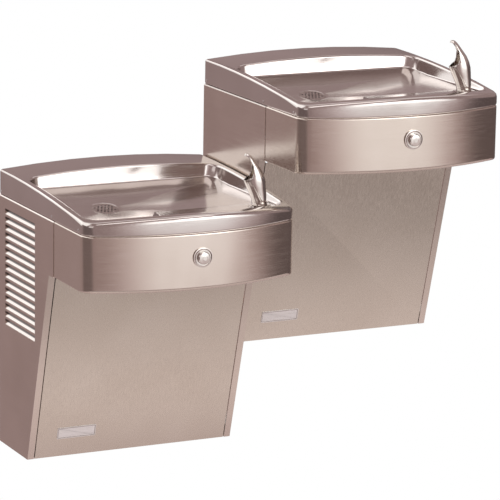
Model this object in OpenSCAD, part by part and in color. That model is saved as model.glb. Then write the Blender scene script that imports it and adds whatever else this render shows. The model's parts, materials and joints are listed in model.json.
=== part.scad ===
// Bi-level wall-hung drinking fountain: two matching basins at two heights, the lower one chilled.
// Frame: X to the right along the wall, the wall is the plane y = 0, the fronts face -Y, Z is up.
// Origin: centre of the lower unit's four wall bolts, on the wall.

/* [Unit] */
// Width of each basin
unit_w = 457; // [445:1:470]
// Depth of each basin's straight sides, wall to front corner
side_depth = 450; // [440:1:460]
// How far the front bows out past the front corners
front_bow = 52; // [44:1:60]
// Radius of the front corners in plan
corner_r = 36; // [32:1:40]
// Gap between the two cabinets
unit_gap = 3; // [2:0.5:8]
// Height of the upper unit above the lower one
level_offset = 203; // [180:1:225]

/* [Basin] */
// Height of the basin skirt at the wall
skirt_back_h = 52; // [48:1:58]
// Height of the basin skirt at the front corners
skirt_front_h = 23; // [21:0.5:25]
// Rise of the crowned deck, sides to middle
deck_crown = 12; // [8:1:16]
// Sheet thickness of the basin
basin_t = 1.5; // [1.2:0.1:2]
// Radius of the deck's side and back edges
edge_r = 5; // [4:0.5:6]
// Radius of the deck's front edge
front_edge_r = 10; // [8:0.5:12]
// Deck width behind the bowl
rear_ledge = 108; // [100:1:114]
// Deck width beside the bowl
side_ledge = 16; // [14:0.5:20]
// Deck width in front of the bowl
front_ledge = 26; // [24:1:30]
// Height of the drain centre above the basin seam
drain_z = 5; // [4:0.5:7]
// Slope of the bowl floor from the back down to the drain, degrees
floor_slope = 10.2; // [9:0.1:11]
// Slope of the bowl floor from the right down to the drain, degrees
cross_slope = 3.2; // [2.5:0.1:3.5]
// Height of the splash shelf above the basin seam
shelf_z = 22; // [21:0.5:23]

/* [Apron] */
// Height of the apron
apron_h = 114; // [104:1:124]
// Sheet thickness of the apron
apron_t = 1.5; // [1.2:0.1:2]
// Radius of the rolled lip along the apron's lower edge
lip_r = 8; // [6:0.5:10]
// Depth of the button axis below the basin seam
button_drop = 48; // [44:1:54]

/* [Cabinet] */
// Height of the cabinet, basin seam to bottom
cabinet_h = 527; // [505:1:545]
// Depth of the cabinet beside the apron
seam_depth = 295; // [288:1:300]
// Depth of the cabinet just under the apron
waist_depth = 272; // [266:1:278]
// Depth of the cabinet at its bottom
foot_depth = 157; // [150:1:165]
// How far each cabinet side stands proud of the basin
cabinet_proud = 1; // [0.5:0.1:1.5]
// Sheet thickness of the cabinet
panel_t = 1.2; // [1:0.1:1.6]
// Width of the front flange beside the access panel
flange_w = 14; // [12:0.5:16]
// Gap round the access panel
panel_gap = 2; // [1:0.5:2.5]

/* [Louvers] */
// Number of louvers
louver_count = 15; // [10:1:15]
// Distance between louvers
louver_pitch = 16.6; // [15.5:0.1:17.2]
// Length of a louver
louver_len = 164; // [140:1:175]
// Depth that a louver blade is pressed in
louver_in = 6; // [4:0.5:7]

/* [Bubbler] */
// Radius of the bubbler's foot
bubbler_foot_r = 15.7; // [14:0.1:17]
// Height of the bubbler over its boss
bubbler_h = 104; // [95:1:112]
// Turn of the spout away from straight across the bowl, degrees
bubbler_turn = 15; // [0:1:30]

/* [Button] */
// Radius of the button's outer ring
bezel_r = 20; // [18:0.5:22]
// Radius of the button's cap
cap_r = 12.5; // [11.5:0.1:13]
// Travel of the button
button_travel = 4; // [3:0.5:5]

/* [Hidden] */
$fn = 72;
LEVELS = ["lower", "upper"];
UNIT_PARTS = [
    "basin", "drain_strainer", "drain_cup", "drain_trap", "slip_nuts", "bubbler", "bubbler_nut",
    "push_button", "valve_stem", "button_spring", "button_bezel", "valve_body", "water_tubes",
    "apron", "under_pan", "side_panel_left", "side_panel_right", "frame", "access_panel",
    "nameplate", "wall_hanger", "skirt_screws", "panel_screws"
];
CHILLER_PARTS = [
    "condenser", "fan_shroud", "fan_blade", "fan_motor", "compressor", "compressor_feet",
    "cooling_tank", "thermostat", "filter_drier", "refrigerant_lines", "power_gland"
];

// Shared small sizes
over = 1;            // overrun of a cut past the face it opens
fit_gap = 0.4;       // assembly clearance between pressed sheets
seat_gap = 0.1;      // clearance under a piece that is screwed down
slide_gap = 0.3;     // clearance round a moving piece

// Finishes
steel = [0.66, 0.58, 0.53];
steel_side = [0.58, 0.51, 0.47];
steel_deck = [0.64, 0.58, 0.57];
chrome = [0.86, 0.86, 0.88];
zinc = [0.72, 0.73, 0.74];
brass = [0.78, 0.63, 0.33];
copper = [0.76, 0.45, 0.3];
grey_plastic = [0.55, 0.56, 0.58];
black = [0.12, 0.12, 0.13];
foam = [0.2, 0.2, 0.22];

// Plan of a unit: a bow arc between two corner rounds, shared by the basin and the apron
bow_r = (unit_w * unit_w / 4 + front_bow * front_bow) / (2 * front_bow);
bow_y = bow_r - side_depth - front_bow;
corner_x = unit_w / 2 - corner_r;
corner_y = bow_y - sqrt(pow(bow_r - corner_r, 2) - pow(corner_x, 2));
bow_half = atan2(corner_x, bow_y - corner_y);
front_y = -side_depth - front_bow;

cabinet_w = unit_w + 2 * cabinet_proud;
unit_pitch = cabinet_w + unit_gap;

// Wall hanger
hanger_side = 23;             // hanger plate beyond its bolts

hanger_h = 70;
hanger_t = 3;
hanger_drop = 70;            // bolt centre below the basin seam
hook_run = 12;
hook_h = 10;
bolt_span = 254;
hanger_w = bolt_span + 2 * hanger_side;
bolt_rise = 40;
bolt_hole_r = 4.5;

// Basin joggle: the upstand inside the skirt that the basin is screwed to
hem_r = 3;
joggle_r = 4;
upstand_h = 13;

// Bowl
bowl_back_r = 30;
bowl_front_r = 44;
deck_back_r = 4;
rim_r = 5;
wall_run = 4;
foot_run = 5;
drain_x_share = -0.208;      // of the unit's width
drain_y_share = -0.533;      // of the side depth
drain_x = drain_x_share * unit_w;
drain_y = drain_y_share * side_depth;
drain_hole_r = 25;
drain_seat_r = 35;
strainer_t = 1.2;
strainer_lap = 3;

// Splash shelf and bubbler boss
shelf_left_x = -70;
shelf_slant = 16;
shelf_depth = 80;
shelf_draft = 7;
shelf_foot_z = 3;
shelf_tuck = 3;
boss_r = 26;
boss_h = 3;
boss_draft = 4;
shank_r = 5;
shank_l = 34;
bubbler_in = 58;             // bubbler axis from the basin's side
bubbler_back = 48;           // bubbler axis from the basin's side depth
bubbler_x = unit_w / 2 - bubbler_in;
bubbler_y = bubbler_back - side_depth;

// Points round each ring of the basin
back_steps = 6;
side_steps = 6;
bow_steps = 14;
front_corner_steps = 6;
back_corner_steps = 4;

function mix(a, b, share) = a + (b - a) * share;
function clamp01(v) = min(1, max(0, v));
function front_reach(x) = sqrt(bow_r * bow_r - x * x) - bow_y;
function depth_share(p) = clamp01(-p[1] / front_reach(p[0]));

// Height of the deck: it falls in a curve from the wall to the front, and is crowned across
function deck_z(p) =
    skirt_front_h
    + (skirt_back_h - skirt_front_h) * (1 - pow(depth_share(p), 2))
    + deck_crown * (1 - pow(2 * p[0] / unit_w, 2));

// Height of the bowl floor: one plane falls from the back, one from the right, both to the drain
function seat_z(p) = drain_z + tan(floor_slope) * (p[1] - drain_y);
function floor_z(p) =
    drain_z + max(
        tan(floor_slope) * max(p[1] - drain_y, -drain_seat_r),
        tan(cross_slope) * (p[0] - drain_x - drain_seat_r)
    );

function arc_points(centre, r, from, to, steps) =
    [for (i = [0:steps]) let (a = mix(from, to, i / steps)) centre + r * [cos(a), sin(a)]];
function between(p, q, steps) = [for (i = [1:steps - 1]) mix(p, q, i / steps)];

// One closed ring in plan, counterclockwise from the back left corner
function plan_ring(side_in, back_in, front_in, back_r, front_r) =
    let (
        half = unit_w / 2 - side_in,
        big_r = bow_r - front_in,
        cx = half - front_r,
        cy = bow_y - sqrt(pow(big_r - front_r, 2) - cx * cx),
        turn = atan2(cx, bow_y - cy),
        back = -back_in,
        bow = arc_points([0, bow_y], big_r, 270 - turn, 270 + turn, bow_steps)
    )
    concat(
        arc_points([back_r - half, back - back_r], back_r, 90, 180, back_corner_steps),
        between([-half, back - back_r], [-half, cy], side_steps),
        arc_points([-cx, cy], front_r, 180, 270 - turn, front_corner_steps),
        [for (i = [1:bow_steps - 1]) bow[i]],
        arc_points([cx, cy], front_r, 270 + turn, 360, front_corner_steps),
        between([half, cy], [half, back - back_r], side_steps),
        arc_points([half - back_r, back - back_r], back_r, 0, 90, back_corner_steps),
        between([half - back_r, back], [back_r - half, back], back_steps)
    );

outer_ring = plan_ring(0, 0, 0, deck_back_r, corner_r);
inner_ring = plan_ring(front_edge_r, front_edge_r, front_edge_r, deck_back_r, corner_r - front_edge_r);
function bowl_ring(run) =
    plan_ring(side_ledge + run, rear_ledge + run, front_ledge + run, bowl_back_r - run / 2, bowl_front_r - run / 2);
function drain_ring(r) =
    [for (p = bowl_ring(wall_run)) let (d = p - [drain_x, drain_y]) [drain_x, drain_y] + r * d / norm(d)];

// Edge radius, larger along the front, and a point moved in from the outline
front_start_share = 0.82;
function edge_radius(p) =
    mix(edge_r, front_edge_r, clamp01((depth_share(p) - front_start_share) / (1 - front_start_share)));
function moved_in(i, inset) = mix(outer_ring[i], inner_ring[i], inset / front_edge_r);

// Rings of the skin, lifted to their heights
function hem_level(inset, z) = [for (i = [0:len(outer_ring) - 1]) let (p = moved_in(i, inset)) [p[0], p[1], z]];
function edge_level(angle, sheet) = [
    for (i = [0:len(outer_ring) - 1])
    let (
        r = edge_radius(outer_ring[i]),
        p = moved_in(i, r - (r - sheet) * cos(angle)),
        top = deck_z(moved_in(i, r))
    )
    [p[0], p[1], top - r + (r - sheet) * sin(angle)]
];
function deck_level(ring, drop) = [for (p = ring) [p[0], p[1], deck_z(p) - drop]];
function floor_level(ring, drop) = [for (p = ring) [p[0], p[1], floor_z(p) - drop]];
function seat_level(r, drop) = [for (p = drain_ring(r)) [p[0], p[1], seat_z(p) - drop]];
function part_way(a, b, share) = [for (i = [0:len(a) - 1]) mix(a[i], b[i], share)];

// Closed skin through a loop of rings, each with the same number of points
module ring_loop(rings) {
    n = len(rings[0]);
    m = len(rings);
    points = [for (ring = rings, p = ring) p];
    faces = [
        for (i = [0:m - 1], j = [0:n - 1])
        let (
            a = i * n + j,
            b = i * n + (j + 1) % n,
            c = ((i + 1) % m) * n + (j + 1) % n,
            d = ((i + 1) % m) * n + j
        )
        each [[a, c, b], [a, d, c]]
    ];
    polyhedron(points, faces, convexity = 8);
}

// Closed skin through a stack of rings with flat ends. A sheet's ends are filled in strips across
// its thickness, so its rings run out along one side and back along the other
module ring_stack(rings, is_sheet = false) {
    n = len(rings[0]);
    m = len(rings);
    points = [for (ring = rings, p = ring) p];
    sides = [
        for (i = [0:m - 2], j = [0:n - 1])
        let (a = i * n + j, b = i * n + (j + 1) % n)
        each [[a, a + n, b], [b, a + n, b + n]]
    ];
    bottom = is_sheet
        ? [for (j = [0:n / 2 - 2]) [j, j + 1, n - 2 - j, n - 1 - j]]
        : [[for (j = [0:n - 1]) j]];
    top = [for (face = bottom) [for (j = [len(face) - 1:-1:0]) (m - 1) * n + face[j]]];
    polyhedron(points, concat(sides, bottom, top), convexity = 6);
}

// Sheet skin of the basin: hem, skirt, deck edge, rim, bowl and drain seat, then back under it
module basin_skin() {
    rim = bowl_ring(-rim_r);
    wall_top = bowl_ring(0);
    wall_foot = bowl_ring(wall_run);
    floor_edge = bowl_ring(wall_run + foot_run);
    seat = drain_ring(drain_seat_r);
    sunk = strainer_t + seat_gap;
    plate_r = drain_hole_r + strainer_lap + seat_gap;
    foot_lift_share = 0.6;
    ring_loop([
        hem_level(hem_r, fit_gap),
        hem_level(hem_r * (1 - sin(45)), fit_gap + hem_r * (1 - cos(45))),
        hem_level(0, fit_gap + hem_r),
        edge_level(0, 0),
        edge_level(30, 0),
        edge_level(60, 0),
        edge_level(90, 0),
        deck_level(rim, 0),
        deck_level(part_way(rim, wall_top, sin(45)), rim_r * (1 - cos(45))),
        deck_level(wall_top, rim_r),
        floor_level(wall_foot, -foot_run * foot_lift_share),
        floor_level(floor_edge, 0),
        floor_level(part_way(floor_edge, seat, 0.3), 0),
        floor_level(part_way(floor_edge, seat, 0.65), 0),
        seat_level(drain_seat_r, 0),
        seat_level(plate_r, 0),
        seat_level(plate_r, sunk),
        seat_level(drain_hole_r, sunk),
        seat_level(drain_hole_r, sunk + basin_t),
        seat_level(drain_seat_r, sunk + basin_t),
        floor_level(part_way(floor_edge, seat, 0.65), basin_t),
        floor_level(part_way(floor_edge, seat, 0.3), basin_t),
        floor_level(floor_edge, basin_t),
        floor_level(bowl_ring(wall_run - basin_t), basin_t - foot_run * foot_lift_share),
        deck_level(bowl_ring(-basin_t), rim_r),
        deck_level(rim, basin_t),
        edge_level(90, basin_t),
        edge_level(50, basin_t),
        edge_level(0, basin_t),
        hem_level(basin_t, fit_gap + hem_r),
        hem_level(hem_r, fit_gap + basin_t)
    ]);
}

// Plan of the unit, a given distance inside the outline
module unit_plan(inset) {
    intersection() {
        union() {
            intersection() {
                translate([0, bow_y]) circle(bow_r - inset, $fn = 240);
                polygon([
                    [0, bow_y],
                    [-unit_w, bow_y - unit_w / tan(bow_half)],
                    [unit_w, bow_y - unit_w / tan(bow_half)]
                ]);
            }
            for (side = [-1, 1]) translate([side * corner_x, corner_y]) circle(corner_r - inset);
            translate([inset - unit_w / 2, corner_y]) square([unit_w - 2 * inset, -corner_y]);
        }
        translate([-unit_w, -2 * unit_w]) square([2 * unit_w, 2 * unit_w]);
    }
}

// Plan of the splash shelf, right front of the bowl, drawn in by its draft
module shelf_plan(draft) {
    back = -side_depth + shelf_depth - draft;
    intersection() {
        unit_plan(side_ledge - shelf_tuck);
        translate([0, shelf_tuck - front_ledge + side_ledge]) square([2 * unit_w, 4 * unit_w], center = true);
        polygon([
            [shelf_left_x + draft, front_y + front_ledge - shelf_tuck],
            [shelf_left_x + shelf_slant + draft, back],
            [unit_w / 2, back],
            [unit_w / 2, front_y + front_ledge - shelf_tuck]
        ]);
    }
}

module shelf_block(sheet) {
    sliver = basin_t / 10;
    hull() {
        translate([0, 0, shelf_foot_z - (sheet > 0 ? 2 * drain_z : 0)])
            linear_extrude(sliver) shelf_plan(sheet);
        translate([0, 0, shelf_z - sheet - sliver])
            linear_extrude(sliver) shelf_plan(shelf_draft + sheet);
    }
}

// Deep-drawn basin: crowned deck, bowl that slopes to its drain, raised shelf and bubbler boss
module basin() {
    boss_flat_r = boss_r - boss_draft;
    color(steel_deck)
    difference() {
        union() {
            difference() {
                union() {
                    basin_skin();
                    shelf_block(0);
                }
                shelf_block(basin_t);
            }
            translate([bubbler_x, bubbler_y, shelf_z - basin_t])
                cylinder(h = boss_h + basin_t, r1 = boss_r, r2 = boss_flat_r);
        }
        translate([bubbler_x, bubbler_y, shelf_foot_z])
            cylinder(h = shelf_z + boss_h, r = shank_r + slide_gap);
        for (side = [-1, 1], y = skirt_screw_ys)
            translate([side * unit_w / 2, y, screw_z]) rotate([0, 90, 0])
                cylinder(h = 4 * hem_r, r = screw_r + slide_gap, center = true);
    }
}

// Skirt screws: three a side, through the skirt into the upstand behind it
screw_r = 1.6;
screw_head_r = 2.3;
screw_head_t = 0.9;
screw_z = 7.5;
screw_inset = 12;
skirt_screw_ys = [-screw_inset, screw_inset - seam_depth, screw_inset - side_depth + corner_r / 2];
module skirt_screws() {
    color(zinc)
    for (side = [-1, 1], y = skirt_screw_ys)
        translate([side * (unit_w / 2 + seat_gap), y, screw_z]) rotate([0, side * 90, 0]) {
            cylinder(h = screw_head_t, r1 = screw_head_r, r2 = screw_head_r - screw_head_t / 2);
            translate([0, 0, -joggle_r - 2 * apron_t]) cylinder(h = joggle_r + 2 * apron_t, r = screw_r);
        }
}

// Strainer: a flat plate on the sloped seat, pierced in slanted rows
module drain_strainer() {
    plate_r = drain_hole_r + strainer_lap - fit_gap;
    hole_r = 2;
    step = 7.5;
    slant_share = 0.45;
    color(steel)
    translate([drain_x, drain_y, drain_z]) rotate([floor_slope, 0, 0]) {
        difference() {
            translate([0, 0, -strainer_t]) cylinder(h = strainer_t, r = plate_r);
            for (row = [-2:2], col = [-3:3])
                let (x = step * (col + slant_share * row), y = step * row)
                if (norm([x, y]) < drain_hole_r - 2 * hole_r)
                    translate([x, y, -strainer_t - over]) cylinder(h = strainer_t + 2 * over, r = hole_r, $fn = 24);
        }
    }
}

// Ring quarter in a sheet's section, its centre at the origin, open towards the two given signs
module quarter_ring(r, sheet, sx, sy) {
    intersection() {
        difference() {
            circle(r, $fn = 48);
            circle(r - sheet, $fn = 48);
        }
        translate([sx < 0 ? -r : 0, sy < 0 ? -r : 0]) square(r);
    }
}

// Stations along the apron, left seam to right seam: place in plan, inward direction, share of the lip
side_lip_share = 0.3;
wall_steps = 2;
corner_steps = 6;
front_steps = 20;
function corner_station(side, a) =
    let (d = [side * cos(a), sin(a)])
    [[side * corner_x, corner_y] + corner_r * d, -d];
left_corner = [
    for (i = [0:corner_steps])
    let (share = i / corner_steps, a = mix(0, bow_half - 90, share))
    concat(corner_station(-1, a), [mix(side_lip_share, 1, share)])
];
bow_stations = [
    for (i = [1:front_steps - 1])
    let (a = mix(-bow_half, bow_half, i / front_steps), d = [sin(a), -cos(a)])
    [[0, bow_y] + bow_r * d, -d, 1]
];
apron_rear = -seam_depth - fit_gap;
wall_stations = [
    for (i = [0:wall_steps - 1]) [[-unit_w / 2, mix(apron_rear, corner_y, i / wall_steps)], [1, 0], side_lip_share]
];
function across(stations) =
    [for (i = [len(stations) - 1:-1:0]) let (q = stations[i]) [[-q[0][0], q[0][1]], [-q[1][0], q[1][1]], q[2]]];
left_stations = concat(wall_stations, left_corner);
stations = concat(left_stations, bow_stations, across(left_stations));

// Section of the apron, (distance inside the outline, height): upstand, shoulder, wall, rolled lip, flange
lip_flange = 10;
turn_steps = 3;
function turn(centre, r, from, to) = arc_points(centre, r, from, to, turn_steps);
function apron_section(r) =
    concat(
        [[joggle_r, upstand_h], [joggle_r, apron_t]],
        turn([joggle_r, -joggle_r], joggle_r, 90, 180),
        turn([r, r - apron_h], r, 180, 270),
        [[r + lip_flange, -apron_h], [r + lip_flange, apron_t - apron_h]],
        turn([r, r - apron_h], r - apron_t, 270, 180),
        turn([joggle_r, -joggle_r], joggle_r - apron_t, 180, 90),
        [[joggle_r + apron_t, -apron_t], [joggle_r + apron_t, upstand_h]]
    );

// Apron: one sheet from the left seam round the bowed front to the right seam
module apron() {
    return_w = 12;
    rings = [
        for (q = stations) [
            for (c = apron_section(lip_r * q[2]))
            let (p = q[0] + c[0] * q[1]) [p[0], p[1], c[1]]
        ]
    ];
    color(steel)
    difference() {
        union() {
            ring_stack(rings, is_sheet = true);
            for (side = [-1, 1])
                translate([side * (unit_w / 2 - fit_gap - return_w / 2) - return_w / 2, apron_rear - 2 * apron_t, lip_r - apron_h])
                    cube([return_w, apron_t, apron_h - 2 * joggle_r - lip_r]);
        }
        translate([0, front_y - over, -button_drop]) rotate([-90, 0, 0])
            cylinder(h = apron_t + 2 * over, r = sleeve_r + slide_gap);
        for (side = [-1, 1])
            translate([side * (unit_w / 2 - joggle_r), skirt_screw_ys[2], screw_z]) rotate([0, 90, 0])
                cylinder(h = 4 * apron_t, r = screw_r + slide_gap, center = true);
    }
}

// Pan that closes the apron from below, resting on its lip
module under_pan() {
    pan_turn = 10;
    rear = -waist_depth - panel_tuck * sin(front_slant) - panel_gap / 2;
    color(steel_side)
    intersection() {
        translate([0, 0, apron_t + seat_gap - apron_h]) linear_extrude(pan_turn) unit_plan(pan_inset);
        union() {
            translate([-unit_w / 2, 2 * front_y, -apron_h])
                cube([unit_w, -2 * front_y + rear, apron_t + seat_gap + panel_t]);
            translate([-unit_w / 2, rear - panel_t, -apron_h]) cube([unit_w, panel_t, apron_h]);
        }
        translate([-waist_half, 2 * front_y, -apron_h]) cube([2 * waist_half, -2 * front_y, apron_h]);
    }
}
pan_inset = lip_r + fit_gap;
waist_half = unit_w / 2 - pan_inset;

// Slant of the cabinet's front below the apron
front_slant = atan2(waist_depth - foot_depth, cabinet_h - apron_h);
slant_len = norm([waist_depth - foot_depth, cabinet_h - apron_h]);

// Places a piece in the slanted front: its x across, its y into the cabinet, its z up the slope
module on_front() {
    translate([0, -foot_depth, -cabinet_h]) rotate([front_slant, 0, 0]) children();
}

// Side panel of the cabinet, drawn for the right; louvered where asked
louver_first = 24;           // first louver's top below the basin seam
louver_from_wall = 33;
louver_blade = 9;
louver_open = 3.2;
module louver_cut(i) {
    top = -louver_first - i * louver_pitch;
    translate([cabinet_w / 2 - panel_t - over, -louver_from_wall - louver_len, top - louver_blade - louver_open])
        cube([panel_t + 2 * over, louver_len, louver_blade + louver_open]);
}

module louver_blade_solid(i) {
    top = -louver_first - i * louver_pitch + fit_gap;
    foot = top - louver_blade - louver_open - 2 * fit_gap;
    out = cabinet_w / 2 - fit_gap;
    tip = out - louver_in;
    back = fit_gap - louver_from_wall;
    front = -louver_from_wall - louver_len - fit_gap;
    blade = [
        [out, foot], [out, foot + panel_t], [tip, foot + louver_blade + panel_t],
        [tip - panel_t, foot + louver_blade], [tip + louver_in - panel_t / 2, foot]
    ];
    cheek = [
        [out, foot], [out, top], [out - panel_t / 2, top], [tip - panel_t, foot + louver_blade + panel_t / 2],
        [tip - panel_t, foot + louver_blade], [out - panel_t / 2, foot]
    ];
    translate([0, back, 0]) rotate([90, 0, 0]) linear_extrude(back - front) polygon(blade);
    for (y = [back, front + panel_t]) translate([0, y, 0]) rotate([90, 0, 0]) linear_extrude(panel_t) polygon(cheek);
}

module side_panel(louvered, tube_hole_z) {
    out = cabinet_w / 2;
    joggle_in = cabinet_proud + joggle_r;
    turn_w = 12;
    tube_hole_y = tank_y;
    difference() {
        union() {
            difference() {
                translate([out - panel_t, 0, 0]) rotate([90, 0, 90]) linear_extrude(panel_t) polygon([
                    [0, -joggle_r], [-seam_depth, -joggle_r], [-seam_depth, -apron_h],
                    [-waist_depth, -apron_h], [-foot_depth, -cabinet_h], [0, -cabinet_h]
                ]);
                if (louvered) for (i = [0:louver_count - 1]) louver_cut(i);
            }
            translate([out, 0, 0]) rotate([90, 0, 0]) linear_extrude(seam_depth) mirror([1, 0]) {
                translate([joggle_r, -joggle_r]) quarter_ring(joggle_r, panel_t, -1, 1);
                translate([joggle_r, -panel_t]) square([joggle_in - joggle_r + panel_t, panel_t]);
                translate([joggle_in, -panel_t]) square([panel_t, upstand_h + panel_t]);
            }
            on_front() translate([out - flange_w, 0, 0]) cube([flange_w - fit_gap, panel_t, slant_len]);
            translate([out - turn_w, -panel_t, -cabinet_h]) cube([turn_w, panel_t, cabinet_h - joggle_r]);
            translate([out - turn_w, -foot_depth, -cabinet_h]) cube([turn_w, foot_depth, panel_t]);
            if (louvered) for (i = [0:louver_count - 1]) louver_blade_solid(i);
        }
        translate([out - joggle_in - panel_t - over, -deck_back_r - fit_gap, fit_gap])
            cube([panel_t + 2 * over, deck_back_r + fit_gap + over, upstand_h + over]);
        for (y = [skirt_screw_ys[0], skirt_screw_ys[1]])
            translate([out - joggle_in, y, screw_z]) rotate([0, 90, 0])
                cylinder(h = 4 * panel_t, r = screw_r + slide_gap, center = true);
        if (tube_hole_z < 0)
            translate([out - panel_t - over, tube_hole_y, tube_hole_z]) rotate([0, 90, 0])
                cylinder(h = panel_t + 2 * over, r = tube_r + slide_gap);
    }
}

module side_panel_left(k) {
    color(steel_side) mirror([1, 0, 0]) side_panel(k == 0, k == 1 ? crossover_z - level_offset : 0);
}

module side_panel_right(k) {
    color(steel_side) side_panel(false, k == 0 ? crossover_z : 0);
}

// Access panel: a shallow tray in the slanted front, its top edge tucked up behind the apron
panel_half = cabinet_w / 2 - flange_w - panel_gap;
panel_return = 12;
panel_tuck = 8;
notch_w = 4;
notch_h = 10;
module access_panel() {
    top = slant_len + panel_tuck;
    color(steel)
    difference() {
        union() {
            on_front() {
                translate([-panel_half, 0, fit_gap]) cube([2 * panel_half, panel_t, top - fit_gap]);
                for (side = [-1, 1])
                    translate([side * (panel_half - panel_t / 2) - panel_t / 2, 0, fit_gap])
                        cube([panel_t, panel_return, slant_len - fit_gap]);
            }
            translate([-panel_half, panel_t / 2 - foot_depth, fit_gap - cabinet_h])
                cube([2 * panel_half, 2 * panel_return, panel_t]);
        }
        on_front() translate([-panel_half - over, -over, slant_len - notch_h])
            cube([notch_w + over, panel_return + 2 * over, notch_h + panel_tuck + over]);
        for (side = [-1, 1]) translate([side * panel_screw_x, panel_screw_y, -cabinet_h - over])
            cylinder(h = 2 * over + fit_gap + panel_t, r = screw_r + slide_gap);
    }
}

panel_screw_x = panel_half - 3 * panel_return;
panel_screw_y = 1.2 * panel_return - foot_depth;
module panel_screws() {
    color(zinc)
    for (side = [-1, 1]) translate([side * panel_screw_x, panel_screw_y, fit_gap - cabinet_h - seat_gap]) {
        translate([0, 0, -screw_head_t]) cylinder(h = screw_head_t, r = screw_head_r);
        cylinder(h = 5 * panel_t, r = screw_r);
    }
}

// Bare plate near the panel's lower left corner
plate_w = 85;
plate_h = 26;
plate_t = 0.8;
plate_side = 44;
plate_up = 42;
plate_round = 2;
module nameplate() {
    color(chrome)
    on_front() translate([plate_side - panel_half, -seat_gap, plate_up]) rotate([90, 0, 0])
        linear_extrude(plate_t) union() {
            translate([plate_round, 0]) square([plate_w - 2 * plate_round, plate_h]);
            translate([0, plate_round]) square([plate_w, plate_h - 2 * plate_round]);
            for (x = [plate_round, plate_w - plate_round], y = [plate_round, plate_h - plate_round])
                translate([x, y]) circle(plate_round, $fn = 24);
        }
}

// Wall hanger: a bolted plate with a hook along its top
module wall_hanger() {
    top = hanger_h / 2 - hanger_drop;
    color(zinc)
    difference() {
        translate([-hanger_w / 2, 0, 0]) rotate([90, 0, 90]) linear_extrude(hanger_w) polygon([
            [0, top - hanger_h], [0, top], [hanger_t - hook_run, top], [hanger_t - hook_run, top + hook_h],
            [-hook_run, top + hook_h], [-hook_run, top - hanger_t], [-hanger_t, top - hanger_t],
            [-hanger_t, top - hanger_h]
        ]);
        for (x = [-1, 1], z = [-1, 1])
            translate([x * bolt_span / 2, over, z * bolt_rise / 2 - hanger_drop]) rotate([90, 0, 0])
                cylinder(h = hanger_t + 2 * over, r = bolt_hole_r);
    }
}

// Frame: a rail that drops over the hanger's hook, two uprights and a base tray
frame_t = 1.5;
frame_half = cabinet_w / 2 - panel_t - fit_gap;
upright_d = 18;
upright_w = 18;
rail_h = 80;
tray_turn = 14;
tray_z = fit_gap + 2 * panel_t + fit_gap - cabinet_h;
tray_back = -hook_run - fit_gap;
tray_front = 3 * panel_return - foot_depth;
module frame(k) {
    hook_top = hanger_h / 2 - hanger_drop + hook_h;
    rail_y = -hook_run - fit_gap - frame_t;
    lip_y = hanger_t - hook_run + fit_gap;
    color(zinc)
    difference() {
        union() {
            translate([-frame_half, rail_y, hook_top - rail_h])
                cube([2 * frame_half, frame_t, rail_h + fit_gap + frame_t]);
            translate([-hanger_w / 2, rail_y, hook_top + fit_gap])
                cube([hanger_w, lip_y + frame_t - rail_y, frame_t]);
            translate([-hanger_w / 2, lip_y, hook_top - hook_h / 2])
                cube([hanger_w, frame_t, hook_h / 2 + fit_gap + frame_t]);
            for (side = [-1, 1]) {
                translate([side * (frame_half - frame_t / 2) - frame_t / 2, rail_y - upright_d, tray_z])
                    cube([frame_t, upright_d + frame_t, hook_top - tray_z]);
                translate([side * (frame_half - upright_w / 2) - upright_w / 2, rail_y, tray_z])
                    cube([upright_w, frame_t, hook_top - tray_z]);
            }
            translate([-frame_half, tray_front, tray_z]) cube([2 * frame_half, rail_y + frame_t - tray_front, frame_t]);
            translate([-frame_half, tray_front, tray_z]) cube([2 * frame_half, frame_t, tray_turn]);
        }
        if (k == 0) translate([gland_x, gland_y, tray_z - over])
            cylinder(h = frame_t + 2 * over, r = gland_r + slide_gap);
        if (k == 0) translate([inlet_x, inlet_y, tray_z - over])
            cylinder(h = frame_t + 2 * over, r = tube_r + slide_gap);
    }
}

// Bubbler: a leaning cup whose back rises into a hood that curls over to the spout tip
// Each row: share of the height, then the centre's lean and the two radii as shares of the foot
horn_shares = [
    [0.00, 0.00, 1.00, 1.00], [0.10, -0.08, 0.98, 0.98], [0.24, -0.30, 1.15, 1.08],
    [0.37, -0.52, 1.32, 1.18], [0.47, -0.68, 1.42, 1.22], [0.58, -0.72, 1.25, 1.15],
    [0.70, -0.86, 1.00, 1.02], [0.81, -1.16, 0.76, 0.84], [0.90, -1.44, 0.60, 0.66],
    [0.96, -1.62, 0.46, 0.50], [1.00, -1.72, 0.24, 0.26]
];
hollow_shares = [
    [0.22, -0.38, 0.50, 0.50], [0.34, -0.52, 0.98, 0.88], [0.47, -0.76, 1.24, 1.04],
    [0.58, -0.90, 1.20, 0.98], [0.70, -1.06, 0.98, 0.84], [0.81, -1.38, 0.74, 0.66],
    [0.91, -1.86, 0.50, 0.40]
];
mouth_shares = [
    [-2.20, 0.478], [-1.85, 0.490], [-1.12, 0.562], [-0.95, 0.640], [-0.95, 0.780],
    [-1.18, 0.860], [-1.55, 0.930], [-1.95, 0.960], [-4.00, 0.960], [-4.00, 0.478]
];
function horn_rings(shares) = [
    for (row = shares) [
        for (a = [0:360 / 24:359])
        bubbler_foot_r * [row[1] + row[2] * cos(a), row[3] * sin(a), bubbler_h * row[0] / bubbler_foot_r]
    ]
];
bubbler_base_z = shelf_z + boss_h + seat_gap;
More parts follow.
